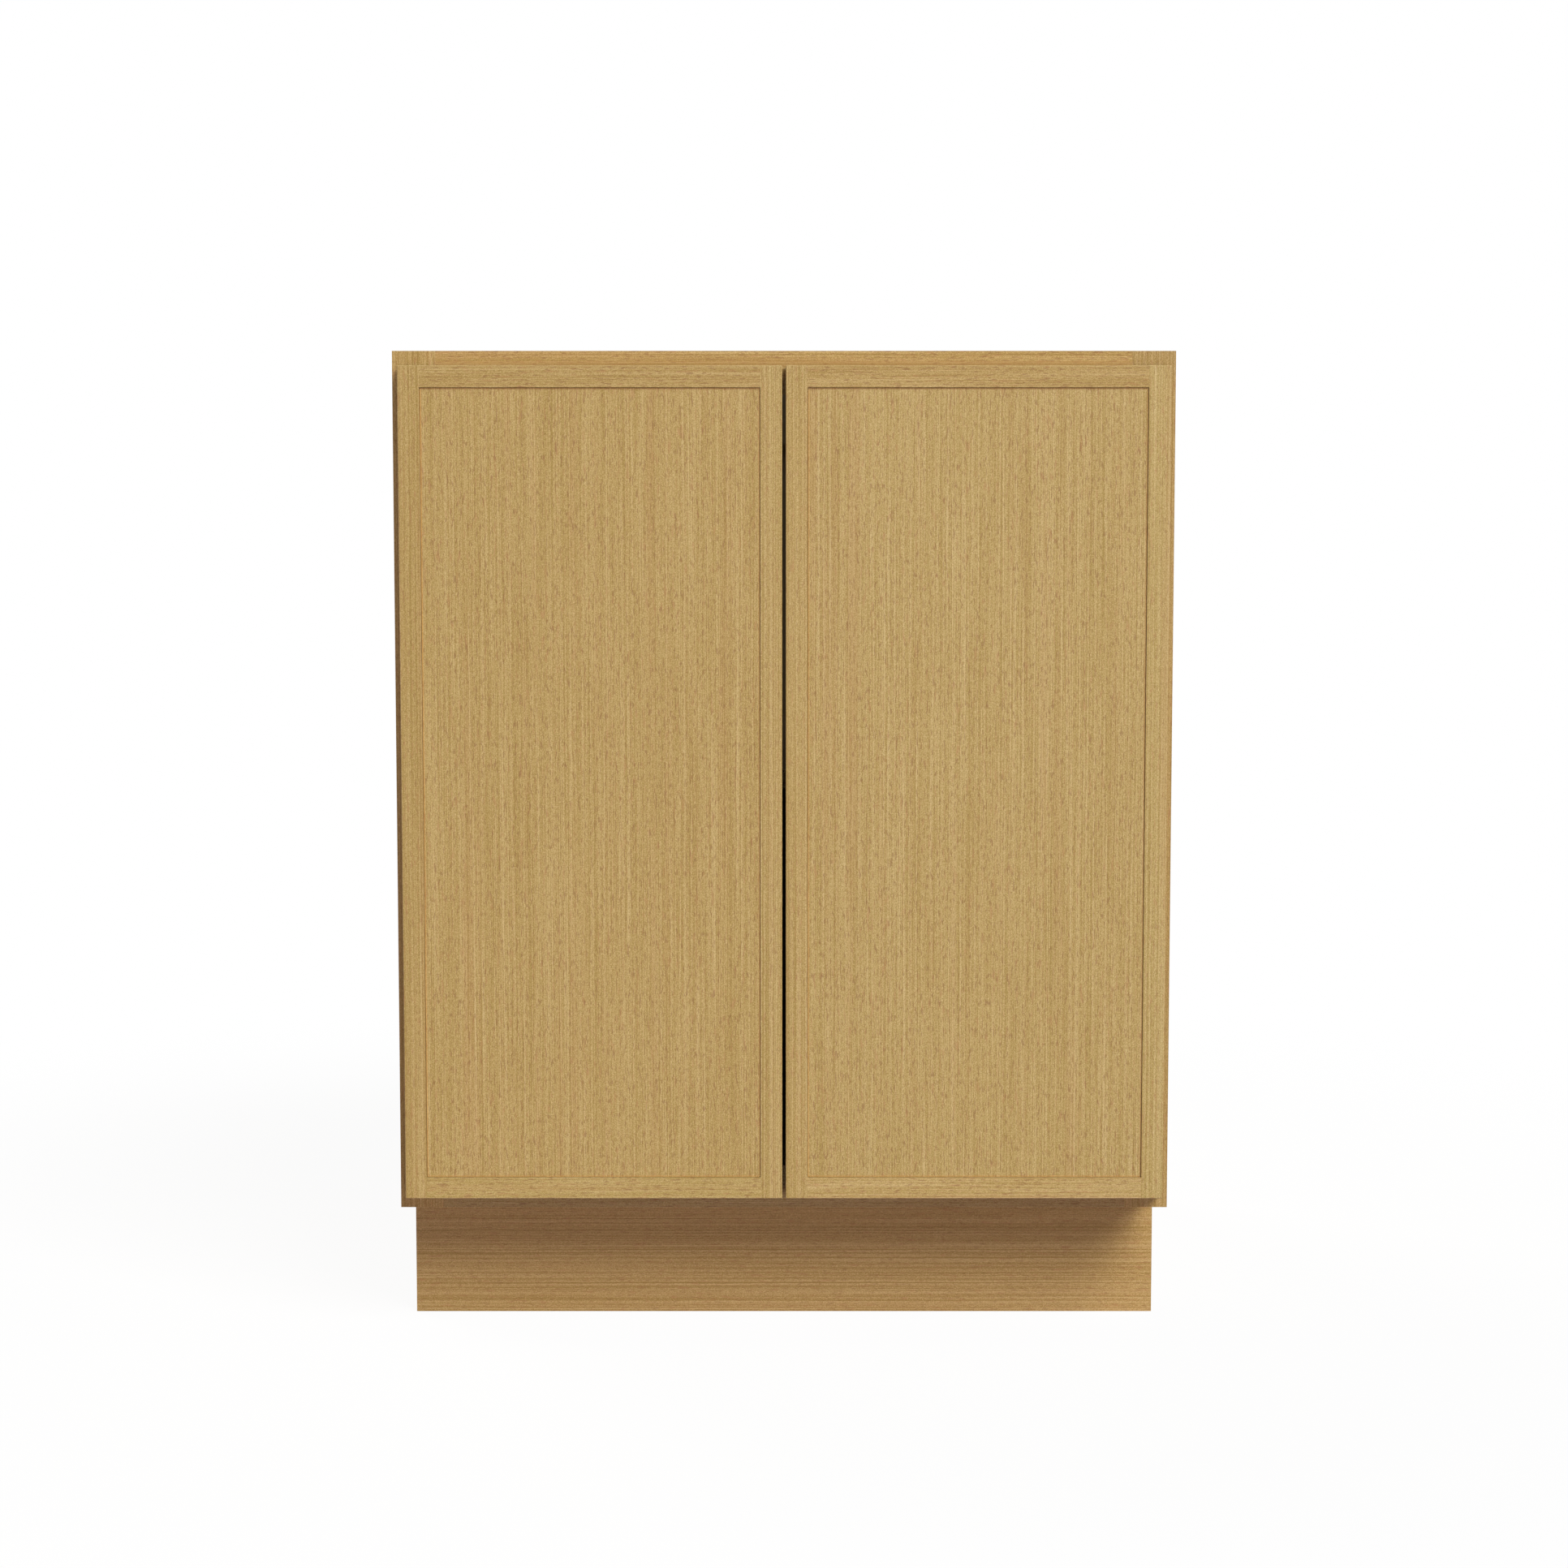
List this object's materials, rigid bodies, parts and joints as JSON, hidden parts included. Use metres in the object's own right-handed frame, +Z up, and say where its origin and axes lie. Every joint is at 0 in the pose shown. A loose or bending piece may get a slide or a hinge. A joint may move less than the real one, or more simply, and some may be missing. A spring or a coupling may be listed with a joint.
{
  "type": "kitchen base cabinet",
  "caption": "Framed kitchen base cabinet with paired overlay doors on concealed cup hinges, a toe space, an adjustable shelf and an open top for a worktop.",
  "frame": {"origin": "on the floor, at the middle of the box that holds the cabinet with its doors shut", "axes": "+Z up, +X along the width to the right as seen from the front, +Y from the doors to the back"},
  "size_m": [0.6858, 0.6316, 0.8763],
  "materials": {
    "frame_oak": "satin clear-finished oak, grain along each piece",
    "door_border_oak": "satin clear-finished oak, grain along each piece",
    "door_panel_oak": "satin clear-finished rift oak veneer, upright grain",
    "toe_board_oak": "satin clear-finished oak veneer, grain along the board",
    "shelf_edge_oak": "satin clear-finished oak strip",
    "birch_plywood": "satin clear-finished birch plywood",
    "beech_dowel": "bare turned beech",
    "nylon": "moulded, finely grained",
    "bumper_gel": "clear soft plastic",
    "nickel_plate": "pressed steel, nickel plated",
    "steel_pin": "drawn steel",
    "zinc_screw": "steel, bright zinc plated"
  },
  "bodies": {
    "case": {"left_side": "birch_plywood", "right_side": "birch_plywood", "deck": "birch_plywood", "back_panel": "birch_plywood", "upper_hanging_rail": "birch_plywood", "lower_hanging_rail": "birch_plywood", "toe_backer": "birch_plywood", "toe_board": "toe_board_oak", "left_frame_stile": "frame_oak", "right_frame_stile": "frame_oak", "top_frame_rail": "frame_oak", "bottom_frame_rail": "frame_oak", "frame_dowels": "beech_dowel", "front_left_brace": "nylon", "front_right_brace": "nylon", "rear_left_brace": "nylon", "rear_right_brace": "nylon", "brace_screws": "zinc_screw", "shelf": "birch_plywood", "shelf_edge": "shelf_edge_oak", "shelf_pins": "steel_pin", "left_upper_plate": "nickel_plate", "left_lower_plate": "nickel_plate", "right_upper_plate": "nickel_plate", "right_lower_plate": "nickel_plate", "plate_screws": "zinc_screw", "left_upper_arm": "nickel_plate", "left_lower_arm": "nickel_plate", "right_upper_arm": "nickel_plate", "right_lower_arm": "nickel_plate", "arm_screws": "zinc_screw"},
    "left_door": {"left_door_hinge_stile": "door_border_oak", "left_door_latch_stile": "door_border_oak", "left_door_top_rail": "door_border_oak", "left_door_bottom_rail": "door_border_oak", "left_door_panel": "door_panel_oak", "left_upper_cup": "nickel_plate", "left_lower_cup": "nickel_plate", "left_upper_pin": "steel_pin", "left_lower_pin": "steel_pin", "left_cup_screws": "zinc_screw", "left_door_bumpers": "bumper_gel"},
    "right_door": {"right_door_hinge_stile": "door_border_oak", "right_door_latch_stile": "door_border_oak", "right_door_top_rail": "door_border_oak", "right_door_bottom_rail": "door_border_oak", "right_door_panel": "door_panel_oak", "right_upper_cup": "nickel_plate", "right_lower_cup": "nickel_plate", "right_upper_pin": "steel_pin", "right_lower_pin": "steel_pin", "right_cup_screws": "zinc_screw", "right_door_bumpers": "bumper_gel"}
  },
  "joints": [
    {"name": "left_door_hinge", "type": "hinge", "parent": "case", "child": "left_door", "pos_m": [-0.32971, -0.30534, 0.4953], "axis": [0, 0, -1], "range_deg": [0, 105]},
    {"name": "right_door_hinge", "type": "hinge", "parent": "case", "child": "right_door", "pos_m": [0.32971, -0.30534, 0.4953], "axis": [0, 0, 1], "range_deg": [0, 105]}
  ]
}
